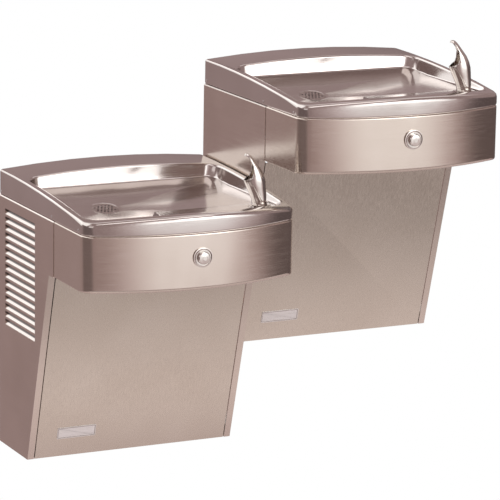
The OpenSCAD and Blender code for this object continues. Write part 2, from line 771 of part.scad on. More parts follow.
module bubbler() {
    nozzle_r = 0.9;
    color(chrome)
    translate([bubbler_x, bubbler_y, bubbler_base_z]) rotate([0, 0, -bubbler_turn]) {
        difference() {
            ring_stack(horn_rings(horn_shares));
            ring_stack(horn_rings(hollow_shares));
            translate([0, 2 * bubbler_foot_r, 0]) rotate([90, 0, 0]) linear_extrude(4 * bubbler_foot_r)
                polygon([for (p = mouth_shares) [p[0] * bubbler_foot_r, p[1] * bubbler_h]]);
            for (share = [0.94, 0.975])
                translate([-1.9 * bubbler_foot_r, 0, share * bubbler_h]) rotate([0, 60, 0])
                    cylinder(h = bubbler_foot_r, r = nozzle_r, $fn = 24, center = true);
        }
        translate([0, 0, -shank_l]) cylinder(h = shank_l + nozzle_r, r = shank_r);
    }
}

nut_r = 11;
nut_h = 6;
module bubbler_nut() {
    color(brass)
    translate([bubbler_x, bubbler_y, shelf_z - basin_t - seat_gap - nut_h]) difference() {
        cylinder(h = nut_h, r = nut_r, $fn = 6);
        translate([0, 0, -over]) cylinder(h = nut_h + 2 * over, r = shank_r + seat_gap);
    }
}

// Push button: domed cap with a raised centre, sliding in the bezel's bore
sleeve_wall = 2.8;
sleeve_r = cap_r + sleeve_wall;
bezel_t = 5;
sleeve_l = 20;
cap_l = 16;
cap_proud = 6;
stem_r = 4;
stem_l = 22;
cap_face = front_y - bezel_t - cap_proud;
module on_button() {
    translate([0, 0, -button_drop]) rotate([90, 0, 0]) children();
}

module push_button() {
    dot_share = 0.38;
    dome = 2;
    dot_t = 1;
    color(chrome)
    translate([0, cap_face, 0]) on_button() rotate([180, 0, 0]) {
        translate([0, 0, dome]) cylinder(h = cap_l - dome, r = cap_r);
        cylinder(h = dome, r1 = cap_r - dome, r2 = cap_r);
        translate([0, 0, -dot_t]) cylinder(h = dot_t + dome, r = dot_share * cap_r);
        translate([0, 0, cap_l]) cylinder(h = stem_l, r = stem_r);
    }
}

// Bezel: stepped ring in front of the apron and a threaded sleeve through it
module button_bezel() {
    ring_step = 2;
    color(chrome)
    translate([0, front_y - seat_gap, 0]) on_button() difference() {
        union() {
            cylinder(h = bezel_t - ring_step, r = bezel_r);
            translate([0, 0, bezel_t - ring_step])
                cylinder(h = ring_step, r1 = bezel_r - ring_step / 2, r2 = bezel_r - 2 * ring_step);
            translate([0, 0, -sleeve_l]) cylinder(h = sleeve_l + over, r = sleeve_r);
        }
        translate([0, 0, -sleeve_l - over]) cylinder(h = sleeve_l + bezel_t + 2 * over, r = cap_r + slide_gap);
        translate([0, 0, bezel_t - ring_step / 2]) difference() {
            cylinder(h = ring_step, r = sleeve_r + ring_step / 2);
            cylinder(h = 3 * ring_step, r = sleeve_r - ring_step / 2, center = true);
        }
    }
}

// Regulating valve: screws onto the bezel's sleeve behind the apron and holds the stem
valve_wall = 3;
valve_r = sleeve_r + valve_wall;
valve_cup = 22;
valve_neck = 10;
valve_chamber = 26;
valve_y = front_y + apron_t + 2 * fit_gap;
chamber_r = 9;
port_r = 6;
seat_y = cap_face + cap_l + stem_l;
module valve_body() {
    floor_y = valve_y + sleeve_l + fit_gap;
    rear = floor_y + valve_neck + valve_chamber;
    color(brass)
    difference() {
        union() {
            translate([0, rear, 0]) on_button() cylinder(h = rear - valve_y, r = valve_r - valve_wall);
            translate([0, valve_y + valve_cup, 0]) on_button() cylinder(h = valve_cup, r = valve_r);
            for (side = [-1, 1])
                translate([side * (valve_r + port_r) / 2, rear - port_r * 2, -button_drop]) rotate([0, 90, 0])
                    cylinder(h = valve_r + port_r, r = port_r, center = true);
        }
        translate([0, floor_y, 0]) on_button() cylinder(h = sleeve_l + 2 * over, r = sleeve_r + seat_gap);
        translate([0, rear - frame_t, 0]) on_button() cylinder(h = rear - floor_y, r = stem_r + slide_gap);
        translate([0, rear - frame_t, 0]) on_button() cylinder(h = valve_chamber / 2, r = chamber_r);
        for (side = [-1, 1])
            translate([side * (valve_r + port_r), rear - port_r * 2, -button_drop]) rotate([0, 90, 0])
                cylinder(h = 2 * port_r, r = tube_r + seat_gap, center = true);
    }
}

// Valve stem: the pin that the button's stem pushes, with its rubber disc
module valve_stem() {
    rear = valve_y + sleeve_l + fit_gap + valve_neck + valve_chamber;
    disc_t = 2;
    room = button_travel + frame_t + fit_gap;
    color(grey_plastic)
    translate([0, rear - room, 0]) on_button() {
        cylinder(h = rear - room - seat_y - seat_gap, r = stem_r);
        cylinder(h = disc_t, r = chamber_r - 2 * slide_gap);
    }
}

// Return spring: one wire coiled round the button's stem
spring_wire_r = 0.7;
spring_turns = 5;
spring_sides = 5;
spring_steps = 9;
module button_spring() {
    from = cap_face + cap_l + spring_wire_r + slide_gap;
    to = valve_y + sleeve_l + fit_gap - spring_wire_r - slide_gap;
    coil_r = stem_r + slide_gap + 2 * spring_wire_r;
    steps = spring_turns * spring_steps;
    rings = [
        for (i = [0:steps])
        let (a = 360 * i / spring_steps, along = mix(from, to, i / steps))
        [
            for (j = [0:spring_sides - 1])
            let (b = -360 * j / spring_sides, r = coil_r + spring_wire_r * cos(b))
            [r * cos(a), along + spring_wire_r * sin(b), r * sin(a) - button_drop]
        ]
    ];
    color(zinc) ring_stack(rings);
}

// Waste: cup under the drain, two bends back towards the wall, then a trap
waste_r = 16;
waste_t = 1.6;
bend_r = 30;
cup_h = 16;
elbow_z = -64;
level_run = 4;
trap_y = drain_y + 2 * bend_r + level_run;
trap_top_z = -172;
trap_straight = 12;
trap_out_z = -140;
outlet_end = -24;
cup_wall = 4;
cup_r = drain_hole_r + cup_wall;
module tube(length, r = waste_r) {
    difference() {
        cylinder(h = length, r = r);
        translate([0, 0, -over]) cylinder(h = length + 2 * over, r = r - waste_t);
    }
}

// Quarter or half bend in the plane x = 0: centre of the bend at the origin
module bend(from, sweep) {
    rotate([90, 0, 90]) rotate([0, 0, from]) rotate_extrude(angle = sweep) translate([bend_r, 0]) difference() {
        circle(waste_r);
        circle(waste_r - waste_t);
    }
}

module drain_cup() {
    low = drain_z - tan(floor_slope) * cup_r - basin_t - strainer_t;
    under = basin_t + strainer_t + 2 * seat_gap;
    flange_t = 1.5;
    neck_z = low - cup_h;
    color(grey_plastic)
    translate([drain_x, 0, 0]) {
        translate([0, drain_y, 0]) difference() {
            union() {
                translate([0, 0, neck_z]) cylinder(h = cup_h + 4 * cup_r * tan(floor_slope), r = cup_r);
                translate([0, 0, drain_z]) rotate([floor_slope, 0, 0])
                    translate([0, 0, -under - flange_t]) cylinder(h = flange_t, r = drain_seat_r);
            }
            translate([0, 0, drain_z]) rotate([floor_slope, 0, 0]) translate([0, 0, -under])
                cylinder(h = 4 * cup_r, r = 2 * cup_r);
            translate([0, 0, neck_z + waste_t]) cylinder(h = 8 * cup_r, r = cup_r - 2 * waste_t);
            translate([0, 0, neck_z - over]) cylinder(h = cup_h, r = waste_r - waste_t);
        }
        translate([0, drain_y, elbow_z + bend_r]) tube(neck_z - elbow_z - bend_r);
        translate([0, drain_y + bend_r, elbow_z + bend_r]) bend(180, 90);
        translate([0, drain_y + bend_r, elbow_z]) rotate([-90, 0, 0]) tube(level_run);
        translate([0, trap_y - bend_r, elbow_z - bend_r]) bend(0, 90);
        translate([0, trap_y, trap_top_z]) tube(elbow_z - bend_r - trap_top_z);
    }
}

module drain_trap() {
    far_y = trap_y + 2 * bend_r;
    top = trap_top_z - seat_gap;
    color(grey_plastic)
    translate([drain_x, 0, 0]) {
        translate([0, trap_y, top - trap_straight]) tube(trap_straight);
        translate([0, trap_y + bend_r, top - trap_straight]) bend(180, 180);
        translate([0, far_y, top - trap_straight]) tube(trap_out_z - bend_r - top + trap_straight);
        translate([0, far_y + bend_r, trap_out_z - bend_r]) bend(90, 90);
        translate([0, far_y + bend_r, trap_out_z]) rotate([-90, 0, 0]) tube(outlet_end - far_y - bend_r);
    }
}

nut_wall = 4;
slip_nut_h = 18;
module slip_nuts() {
    color(grey_plastic)
    translate([drain_x, trap_y, trap_top_z - trap_straight + over]) difference() {
        cylinder(h = slip_nut_h, r = waste_r + nut_wall, $fn = 8);
        translate([0, 0, -over]) cylinder(h = slip_nut_h + 2 * over, r = waste_r + seat_gap);
    }
}

// Round tube through a list of corners, each corner a soldered ball a little larger than the tube
elbow_share = 1.12;
tube_r = 4.76;
module tube_path(corners, r) {
    for (i = [0:len(corners) - 2])
        let (d = corners[i + 1] - corners[i])
        translate(corners[i])
            rotate([0, acos(d[2] / norm(d)), atan2(d[1], d[0])]) cylinder(h = norm(d), r = r, $fn = 24);
    if (len(corners) > 2)
        for (i = [1:len(corners) - 2]) translate(corners[i]) sphere(elbow_share * r, $fn = 24);
}

// Water line: the lower inlet feeds the tank, chilled water goes to both valves and their bubblers
inlet_x = 165;
inlet_y = -40;
inlet_stub = 28;
collar_h = 6;
collar_r = 10;
line_z = -88;
cross_in = 60;
cross_rise = 40;
cross_x = cross_in - cabinet_w / 2;
crossover_share = 0.512;
crossover_z = -crossover_share * cabinet_h;
module water_tubes(k) {
    rear = valve_y + sleeve_l + fit_gap + valve_neck + valve_chamber;
    port_y = rear - port_r * 2;
    valve_out = valve_r + port_r;
    bottom = tray_z - inlet_stub;
    bubbler_end = bubbler_base_z - shank_l - seat_gap;
    feed_x = k == 0 ? tank_x + tank_r / 2 : cross_x;
    feed_z = k == 0 ? tank_z + tank_h + seat_gap : line_z - cross_rise + seat_gap;
    color(copper) {
        tube_path([
            [valve_out - port_r + seat_gap, port_y, -button_drop], [bubbler_x, port_y, -button_drop],
            [bubbler_x, bubbler_y, -button_drop], [bubbler_x, bubbler_y, bubbler_end]
        ], tube_r);
        tube_path([
            [feed_x, tank_y, feed_z], [feed_x, tank_y, line_z], [-valve_out - 3 * port_r, tank_y, line_z],
            [-valve_out - 3 * port_r, port_y, line_z], [-valve_out - 3 * port_r, port_y, -button_drop],
            [port_r - seat_gap - valve_out, port_y, -button_drop]
        ], tube_r);
        if (k == 0) translate([inlet_x, inlet_y, tray_z - seat_gap - collar_h]) cylinder(h = collar_h, r = collar_r);
        if (k == 0)
            tube_path([
                [inlet_x, inlet_y, bottom], [inlet_x, inlet_y, tank_z + tank_h / 4],
                [inlet_x, tank_y, tank_z + tank_h / 4], [tank_x + tank_r + seat_gap, tank_y, tank_z + tank_h / 4]
            ], tube_r);
    }
}

// Chiller of the lower unit
tank_h_share = 0.36;
tank_top_share = 0.21;
tank_r = 62;
tank_h = tank_h_share * cabinet_h;
tank_x = 22;
tank_y = -118;
tank_z = -tank_top_share * cabinet_h - tank_h;
tank_edge = 10;
module cooling_tank() {
    color(foam)
    translate([tank_x, tank_y, tank_z]) rotate_extrude() union() {
        translate([0, tank_edge]) square([tank_r, tank_h - 2 * tank_edge]);
        square([tank_r - tank_edge, tank_h]);
        for (z = [tank_edge, tank_h - tank_edge]) translate([tank_r - tank_edge, z]) circle(tank_edge);
    }
}

condenser_x = -cabinet_w / 2 + panel_t + louver_in + 3 * panel_t + 2 * fit_gap;
condenser_t = 38;
condenser_d = 158;
condenser_h_share = 0.41;
condenser_h = condenser_h_share * cabinet_h;
condenser_y = -58;
condenser_top = -40;
fin_count = 26;
fin_t = 0.8;
module condenser() {
    pass_count = 6;
    pass_r = 4;
    pitch = condenser_d / (fin_count - 1);
    color(copper)
    for (i = [0:pass_count - 1])
        translate([condenser_x + condenser_t / 2, condenser_y, condenser_top - condenser_h * (i + 0.5) / pass_count])
            rotate([90, 0, 0]) cylinder(h = condenser_d, r = pass_r, $fn = 24);
    color(zinc)
    for (i = [0:fin_count - 1])
        translate([condenser_x, condenser_y - i * pitch - (i == 0 ? fin_t : 0), condenser_top - condenser_h])
            cube([condenser_t, fin_t, condenser_h]);
}

fan_r = 70;
fan_z = condenser_top - condenser_h / 2;
fan_y = condenser_y - condenser_d / 2;
shroud_x = condenser_x + condenser_t + seat_gap;
shroud_t = 1.5;
fan_gap = 9;
shroud_ring = 14;
ring_clear = 2;
fan_x = shroud_x + shroud_t + fan_gap;
motor_x = fan_x + fan_gap;
motor_r = 27;
motor_t = 17;
axle_r = 3;
arm_w = 12;
module fan_shroud() {
    ring_in = fan_r + ring_clear;
    color(zinc) {
        difference() {
            union() {
                translate([shroud_x, condenser_y - condenser_d, condenser_top - condenser_h])
                    cube([shroud_t, condenser_d, condenser_h]);
                translate([shroud_x, fan_y, fan_z]) rotate([0, 90, 0]) cylinder(h = shroud_ring, r = ring_in + ring_clear);
            }
            translate([shroud_x - over, fan_y, fan_z]) rotate([0, 90, 0])
                cylinder(h = shroud_ring + 2 * over, r = ring_in);
        }
        for (side = [-1, 1]) {
            translate([shroud_x, fan_y - arm_w / 2, fan_z + side * (fan_r + shroud_ring / 2) - shroud_t / 2])
                cube([motor_x - shroud_x + shroud_t, arm_w, shroud_t]);
            translate([motor_x - shroud_t - seat_gap, fan_y - arm_w / 2, fan_z + side * (fan_r + motor_r) / 2 - (fan_r - motor_r + shroud_ring) / 2])
                cube([shroud_t, arm_w, fan_r - motor_r + shroud_ring]);
        }
    }
}

module fan_blade() {
    hub_r = 13;
    hub_t = 12;
    blade_count = 4;
    blade_t = 1.5;
    blade_w = 46;
    pitch_angle = 20;
    color(black)
    translate([fan_x, fan_y, fan_z]) rotate([0, 90, 0]) difference() {
        union() {
            cylinder(h = hub_t, r = hub_r, center = true);
            intersection() {
                cylinder(h = hub_t, r = fan_r, center = true);
                for (i = [0:blade_count - 1]) rotate([0, 0, i * 360 / blade_count])
                    translate([hub_r - over, 0, 0]) rotate([pitch_angle, 0, 0])
                        translate([0, -blade_w / 2, -blade_t / 2]) cube([fan_r, blade_w, blade_t]);
            }
        }
        cylinder(h = 2 * hub_t, r = axle_r + slide_gap / 4, center = true);
    }
}

module fan_motor() {
    axle_l = 18;
    color(black)
    translate([motor_x, fan_y, fan_z]) rotate([0, 90, 0]) {
        cylinder(h = motor_t, r = motor_r);
        translate([0, 0, motor_t - over]) cylinder(h = 3 + over, r1 = motor_r, r2 = motor_r / 2);
        translate([0, 0, -axle_l]) cylinder(h = axle_l + over, r = axle_r);
    }
}

comp_r = 54;
comp_h_share = 0.285;
comp_h = comp_h_share * cabinet_h;
comp_x = 74;
comp_y = -72;
foot_h = 12;
comp_plate_t = 3;
comp_z = tray_z + frame_t + foot_h + 2 * seat_gap;
module compressor() {
    dome = 34;
    band = 3;
    color(black)
    translate([comp_x, comp_y, comp_z]) {
        rotate_extrude() intersection() {
            union() {
                translate([0, dome]) square([comp_r, comp_h - 2 * dome]);
                square([comp_r - dome, comp_h]);
                for (z = [dome, comp_h - dome]) translate([comp_r - dome, z]) circle(dome);
                translate([0, comp_h / 2 - band]) square([comp_r + band, 2 * band]);
            }
            square(2 * comp_h);
        }
        translate([-comp_foot_x - foot_pad_r, -foot_pad_r - comp_foot_y, 0])
            cube([2 * comp_foot_x + 2 * foot_pad_r, 2 * foot_pad_r + 2 * comp_foot_y, comp_plate_t]);
    }
}

comp_foot_x = 62;
foot_pad_r = 9;
foot_waist_share = 0.8;
comp_foot_y = 26;
module compressor_feet() {
    color(black)
    for (x = [-1, 1], y = [-1, 1])
        translate([comp_x + x * comp_foot_x, comp_y + y * comp_foot_y, tray_z + frame_t + seat_gap]) union() {
            cylinder(h = foot_h / 2, r1 = foot_pad_r, r2 = foot_pad_r * foot_waist_share);
            translate([0, 0, foot_h / 2]) cylinder(h = foot_h / 2, r1 = foot_pad_r * foot_waist_share, r2 = foot_pad_r);
        }
}

thermo_w = 34;
thermo_d = 20;
thermo_h = 44;
module thermostat() {
    knob_r = 7;
    knob_h = 6;
    color(grey_plastic) {
        translate([tank_x - thermo_w / 2, tank_y - tank_r - thermo_d - seat_gap, tank_z + tank_h / 3])
            cube([thermo_w, thermo_d, thermo_h]);
        translate([tank_x, tank_y - tank_r - thermo_d, tank_z + tank_h / 3 + thermo_h / 2]) rotate([90, 0, 0])
            cylinder(h = knob_h, r = knob_r);
    }
}

drier_r = 10;
drier_l_share = 0.17;
drier_lift_share = 0.178;
drier_l = drier_l_share * cabinet_h;
drier_taper = 12;
drier_neck = 4;
drier_x = -60;
drier_y = -52;
drier_z = tray_z + drier_lift_share * cabinet_h;
module filter_drier() {
    color(copper)
    translate([drier_x, drier_y, drier_z]) {
        cylinder(h = drier_l, r = drier_r);
        translate([0, 0, drier_l]) cylinder(h = drier_taper, r1 = drier_r, r2 = drier_neck);
        translate([0, 0, -drier_taper]) cylinder(h = drier_taper, r1 = drier_neck, r2 = drier_r);
    }
}

line_r = 3;
line_gap = 12;               // between a tube and the piece it passes
line_lane = 14;              // first tube's lane in front of the condenser, the second lies beside it
line_side = 60;              // lanes beside the drier
line_fall = 40;
line_low_share = 0.114;
module refrigerant_lines() {
    mid = condenser_x + condenser_t / 2;
    low = condenser_top - condenser_h * 11 / 12;
    high = condenser_top - condenser_h / 12;
    under = tray_z + line_low_share * cabinet_h;
    lane = condenser_y + line_lane;
    lane_far = lane + line_gap;
    side = drier_x - line_side;
    side_far = side - line_gap;
    comp_in = comp_z + comp_h / 3;
    tank_under = tank_z - line_gap;
    comp_over = comp_z + comp_h + line_gap;
    out_x = comp_x - line_gap;
    color(copper) {
        tube_path([
            [mid, condenser_y + seat_gap, low], [mid, lane, low], [mid, lane, low - line_fall],
            [side, lane, low - line_fall], [side, lane, comp_in], [side, comp_y, comp_in],
            [comp_x - comp_r - seat_gap, comp_y, comp_in]
        ], line_r);
        tube_path([
            [mid, condenser_y + seat_gap, high], [mid, lane_far, high], [side_far, lane_far, high],
            [side_far, lane_far, under], [side_far, drier_y, under], [drier_x, drier_y, under],
            [drier_x, drier_y, drier_z - drier_taper - seat_gap]
        ], line_r);
        tube_path([
            [drier_x, drier_y, drier_z + drier_l + drier_taper + seat_gap], [drier_x, drier_y, tank_under],
            [tank_x, drier_y, tank_under], [tank_x, tank_y, tank_under], [tank_x, tank_y, tank_z - seat_gap]
        ], line_r);
        tube_path([
            [out_x, tank_y, tank_z - seat_gap], [out_x, tank_y, comp_over],
            [out_x, comp_y, comp_over], [out_x, comp_y, comp_z + comp_h + seat_gap]
        ], line_r);
    }
}

gland_r = 9;
gland_x = -150;
gland_y = -60;
module power_gland() {
    flange = 3;
    bore_r = 4.5;
    color(black)
    translate([gland_x, gland_y, tray_z]) difference() {
        union() {
            translate([0, 0, -3 * flange]) cylinder(h = 5 * flange + frame_t, r = gland_r);
            translate([0, 0, frame_t + seat_gap]) cylinder(h = flange, r = gland_r + flange, $fn = 6);
            translate([0, 0, -2 * flange - seat_gap]) cylinder(h = 2 * flange, r = gland_r + flange, $fn = 6);
        }
        translate([0, 0, -4 * flange]) cylinder(h = 12 * flange, r = bore_r);
    }
}

// Tube that takes chilled water from the lower unit's tank to the upper unit
module crossover_tube() {
    end_x = unit_pitch + cross_x;
    color(copper)
    tube_path([
        [tank_x + tank_r + seat_gap, tank_y, crossover_z], [end_x, tank_y, crossover_z],
        [end_x, tank_y, level_offset + line_z - cross_rise]
    ], tube_r);
}

// One unit's place: k = 0 lower left, k = 1 upper right
module at_level(k) {
    translate([k * unit_pitch, 0, hanger_drop + k * level_offset]) children();
}

for (k = [0, 1]) at_level(k) {
    basin();
    drain_strainer();
    drain_cup();
    drain_trap();
    slip_nuts();
    bubbler();
    bubbler_nut();
    push_button();
    valve_stem();
    button_spring();
    button_bezel();
    valve_body();
    water_tubes(k);
    apron();
    under_pan();
    side_panel_left(k);
    side_panel_right(k);
    frame(k);
    access_panel();
    nameplate();
    wall_hanger();
    skirt_screws();
    panel_screws();
}

at_level(0) {
    condenser();
    fan_shroud();
    fan_blade();
    fan_motor();
    compressor();
    compressor_feet();
    cooling_tank();
    thermostat();
    filter_drier();
    refrigerant_lines();
    power_gland();
    crossover_tube();
}
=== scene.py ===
"""Looks of the bi-level wall-hung drinking fountain: its steel shells, chrome fittings and inner pieces.

Lengths are in metres and angles in degrees. X runs right along the wall, Y into the wall and Z up.
"""

import json
import math

import bpy
from mathutils import Matrix, Vector


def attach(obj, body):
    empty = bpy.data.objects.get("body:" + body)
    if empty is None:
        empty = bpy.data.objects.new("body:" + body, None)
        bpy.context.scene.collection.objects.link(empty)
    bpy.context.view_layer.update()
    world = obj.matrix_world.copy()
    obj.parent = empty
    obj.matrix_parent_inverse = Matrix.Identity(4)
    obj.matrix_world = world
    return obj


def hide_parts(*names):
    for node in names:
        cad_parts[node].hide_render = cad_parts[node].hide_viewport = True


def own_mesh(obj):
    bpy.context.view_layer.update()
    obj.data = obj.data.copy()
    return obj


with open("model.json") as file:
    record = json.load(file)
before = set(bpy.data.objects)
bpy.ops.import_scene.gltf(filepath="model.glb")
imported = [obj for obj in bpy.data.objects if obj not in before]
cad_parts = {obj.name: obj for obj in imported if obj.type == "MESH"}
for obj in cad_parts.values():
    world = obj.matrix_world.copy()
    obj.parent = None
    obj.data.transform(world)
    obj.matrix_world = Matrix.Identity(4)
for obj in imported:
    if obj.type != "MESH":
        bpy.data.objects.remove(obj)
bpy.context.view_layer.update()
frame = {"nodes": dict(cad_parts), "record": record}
nodes = frame["nodes"]
record = frame["record"]

LEVELS = ("lower", "upper")


def deselect_all():
    if bpy.context.object and bpy.context.object.mode != "OBJECT":
        bpy.ops.object.mode_set(mode="OBJECT")
    bpy.ops.object.select_all(action="DESELECT")


def pick(piece):
    """Selects one piece alone and makes it the active one."""
    deselect_all()
    piece.select_set(True)
    bpy.context.view_layer.objects.active = piece


# Shader nodes that the finishes and the studio share.

# A Mix node's sockets for numbers and for colours: its first value, its second, and the result.
MIX_SOCKETS = {"FLOAT": (2, 3, 0), "RGBA": (6, 7, 2)}


def plug(tree, socket, value):
    """Links another node's output into a socket, or sets the socket to a number or a colour."""
    if isinstance(value, bpy.types.NodeSocket):
        tree.links.new(value, socket)
    else:
        socket.default_value = value


def maths(tree, operation, *values):
    node = tree.nodes.new("ShaderNodeMath")
    node.operation = operation
    for socket, value in zip(node.inputs, values):
        plug(tree, socket, value)
    return node.outputs[0]


def mixed(tree, share, first, second, kind="FLOAT"):
    """Runs from the first value, at a share of 0, to the second, at a share of 1."""
    node = tree.nodes.new("ShaderNodeMix")
    node.data_type = kind
    first_at, second_at, result_at = MIX_SOCKETS[kind]
    plug(tree, node.inputs[0], share)
    plug(tree, node.inputs[first_at], first)
    plug(tree, node.inputs[second_at], second)
    return node.outputs[result_at]


def ranged(tree, value, start, end, low=0.0, high=1.0, curve="LINEAR"):
    """Runs from low to high where the value runs from start to end."""
    node = tree.nodes.new("ShaderNodeMapRange")
    node.interpolation_type = curve
    node.inputs["From Min"].default_value = start
    node.inputs["From Max"].default_value = end
    node.inputs["To Min"].default_value = low
    node.inputs["To Max"].default_value = high
    plug(tree, node.inputs["Value"], value)
    return node.outputs["Result"]


def tinted(tree, value, *stops):
    """A colour that runs between two stops, each a value and the colour there."""
    ramp = tree.nodes.new("ShaderNodeValToRGB")
    for element, (place, colour) in zip(ramp.color_ramp.elements, stops):
        element.position = place
        element.color = (*colour, 1)
    plug(tree, ramp.inputs["Fac"], value)
    return ramp.outputs["Color"]


def parted(tree, coords):
    """The X, Y and Z of a coordinate output."""
    split = tree.nodes.new("ShaderNodeSeparateXYZ")
    plug(tree, split.inputs["Vector"], coords)
    return split.outputs


# Finishes of the sheet, the fittings and the inner pieces.


class Finish:
    """One surface: plain values sit on the shader's own sockets, and patterns are linked into them."""

    def __init__(self, name, colour, metallic, roughness):
        self.material = bpy.data.materials.new(name)
        self.material.use_nodes = True
        self.tree = self.material.node_tree
        self.shader = self.tree.nodes["Principled BSDF"]
        self.shader.inputs["Base Color"].default_value = (*colour, 1)
        self.shader.inputs["Metallic"].default_value = metallic
        self.shader.inputs["Roughness"].default_value = roughness
        self.coords = self.tree.nodes.new("ShaderNodeTexCoord").outputs["Object"]

    def noise(self, cells, detail=3.0, roughness=0.55):
        """Noise with so many cells to the metre along X, Y and Z."""
        mapping = self.tree.nodes.new("ShaderNodeMapping")
        mapping.inputs["Scale"].default_value = cells
        plug(self.tree, mapping.inputs["Vector"], self.coords)
        noise = self.tree.nodes.new("ShaderNodeTexNoise")
        noise.inputs["Scale"].default_value = 1.0
        noise.inputs["Detail"].default_value = detail
        noise.inputs["Roughness"].default_value = roughness
        plug(self.tree, noise.inputs["Vector"], mapping.outputs["Vector"])
        return noise.outputs["Fac"]

    def colours(self, pattern, *stops):
        plug(self.tree, self.shader.inputs["Base Color"], tinted(self.tree, pattern, *stops))

    def rough(self, pattern, low, high, start=0.35, end=0.65):
        """Lets the roughness run from low to high where the pattern runs from start to end."""
        value = ranged(self.tree, pattern, start, end, low, high)
        plug(self.tree, self.shader.inputs["Roughness"], value)

    def bump(self, pattern, strength, depth):
        bump = self.tree.nodes.new("ShaderNodeBump")
        bump.inputs["Strength"].default_value = strength
        bump.inputs["Distance"].default_value = depth
        plug(self.tree, bump.inputs["Height"], pattern)
        plug(self.tree, self.shader.inputs["Normal"], bump.outputs["Normal"])


def brushed_steel(name, tone, shade, grain, roughness, relief):
    """Satin sheet: a fine directional grain in roughness and bump, with broad faint clouds of tone."""
    finish = Finish(name, tone, 1.0, roughness)
    lines = finish.noise(grain, detail=4.0, roughness=0.65)
    clouds = finish.noise((7, 7, 7), detail=2.0)
    finish.rough(lines, roughness - 0.05, roughness + 0.07)
    finish.colours(mixed(finish.tree, 0.4, clouds, lines), (0.36, shade), (0.62, tone))
    finish.bump(lines, relief, 0.0001)
    return finish.material


def plain_metal(name, tone, shade, roughness):
    """Cast, turned or drawn metal, faintly clouded."""
    finish = Finish(name, tone, 1.0, roughness)
    clouds = finish.noise((60, 60, 60))
    finish.colours(clouds, (0.35, shade), (0.65, tone))
    finish.rough(clouds, roughness - 0.04, roughness + 0.06)
    return finish.material


def coated(name, tone, shade, roughness, grain, depth):
    """Paint, plastic, rubber or foam: fine grains in roughness and bump, and broad clouds of tone."""
    finish = Finish(name, tone, 0.0, roughness)
    grains = finish.noise((grain, grain, grain), detail=2.0)
    clouds = finish.noise((12, 12, 12))
    finish.colours(clouds, (0.35, shade), (0.65, tone))
    finish.rough(grains, roughness - 0.06, roughness + 0.08)
    finish.bump(grains, 0.25, depth)
    return finish.material


def louver_metal_with_painted_shade(name, first_top, pitch):
    """Blades with painted shade: each is painted darker upwards, where it dips behind the strip above its
    slot.
    """
    finish = Finish(name, (0.66, 0.58, 0.52), 1.0, 0.2)
    height = parted(finish.tree, finish.coords)["Z"]
    turns = maths(finish.tree, "MULTIPLY_ADD", height, -1 / pitch, first_top / pitch)
    place = maths(finish.tree, "FRACT", turns)
    finish.colours(place, (0.36, (0.07, 0.055, 0.05)), (0.46, (0.7, 0.64, 0.6)))
    return finish.material


def bare_plate_metal(name):
    """Pale satin plate, part coated, so that it stays lighter than the sheet round it."""
    finish = Finish(name, (0.8, 0.79, 0.78), 0.35, 0.32)
    lines = finish.noise((8, 900, 900))
    finish.colours(lines, (0.35, (0.72, 0.71, 0.7)), (0.65, (0.84, 0.83, 0.82)))
    finish.rough(lines, 0.26, 0.4)
    return finish.material


def spangled_zinc(name):
    """Galvanised sheet with its crystal cells."""
    finish = Finish(name, (0.56, 0.57, 0.58), 1.0, 0.42)
    cells = finish.tree.nodes.new("ShaderNodeTexVoronoi")
    cells.inputs["Scale"].default_value = 90.0
    plug(finish.tree, cells.inputs["Vector"], finish.coords)
    pattern = cells.outputs["Distance"]
    finish.rough(pattern, 0.34, 0.5, 0.1, 0.7)
    finish.colours(pattern, (0.1, (0.6, 0.61, 0.62)), (0.8, (0.5, 0.51, 0.52)))
    return finish.material


# Each sheet's tone, the shade in its clouds, its grain along X, Y and Z, its roughness and its relief.
# The brush lines run in the direction where the grain has the fewest cells to the metre.
SHEETS = {
    "apron_steel": ((0.65, 0.58, 0.522), (0.6, 0.528, 0.465), (3, 60, 700), 0.19, 0.04),
    "side_steel": ((0.63, 0.554, 0.5), (0.57, 0.495, 0.443), (500, 6, 700), 0.2, 0.02),
    "front_steel": ((0.62, 0.562, 0.497), (0.58, 0.519, 0.453), (700, 300, 5), 0.22, 0.012),
    "basin_steel": ((0.6, 0.555, 0.53), (0.53, 0.485, 0.455), (4, 500, 500), 0.12, 0.015),
}
# Each metal's tone, the shade in its clouds and its roughness.
METALS = {
    "strainer_steel": ((0.5, 0.45, 0.42), (0.44, 0.39, 0.36), 0.22),
    "bright_chrome": ((0.72, 0.68, 0.64), (0.64, 0.6, 0.56), 0.09),
    "bright_steel": ((0.7, 0.68, 0.67), (0.62, 0.6, 0.59), 0.2),
    "plate_rim": ((0.4, 0.36, 0.33), (0.36, 0.32, 0.29), 0.35),
    "plumbing_brass": ((0.78, 0.6, 0.3), (0.66, 0.48, 0.22), 0.28),
    "spring_steel": ((0.6, 0.6, 0.62), (0.5, 0.5, 0.52), 0.25),
    "copper_tube": ((0.8, 0.44, 0.28), (0.62, 0.3, 0.18), 0.24),
    "fin_metal": ((0.7, 0.72, 0.74), (0.6, 0.62, 0.64), 0.35),
}
# Each coat's tone, the shade in its clouds, its roughness, its grains to the metre and their depth.
COATS = {
    "black_plastic": ((0.02, 0.02, 0.022), (0.015, 0.015, 0.016), 0.5, 300, 0.0002),
    "black_paint": ((0.022, 0.022, 0.024), (0.015, 0.015, 0.016), 0.3, 120, 0.0002),
    "black_rubber": ((0.018, 0.018, 0.018), (0.025, 0.025, 0.024), 0.75, 300, 0.0002),
    "foam_cover": ((0.045, 0.045, 0.05), (0.035, 0.035, 0.04), 0.85, 500, 0.0006),
    "grey_plastic": ((0.26, 0.27, 0.29), (0.22, 0.23, 0.25), 0.5, 300, 0.0002),
}
# A blade's top on the louvered side, and the step from one blade to the next, which place the painted
# shade on the blades.
LOUVER_TOP = 0.046
LOUVER_PITCH = 0.0166

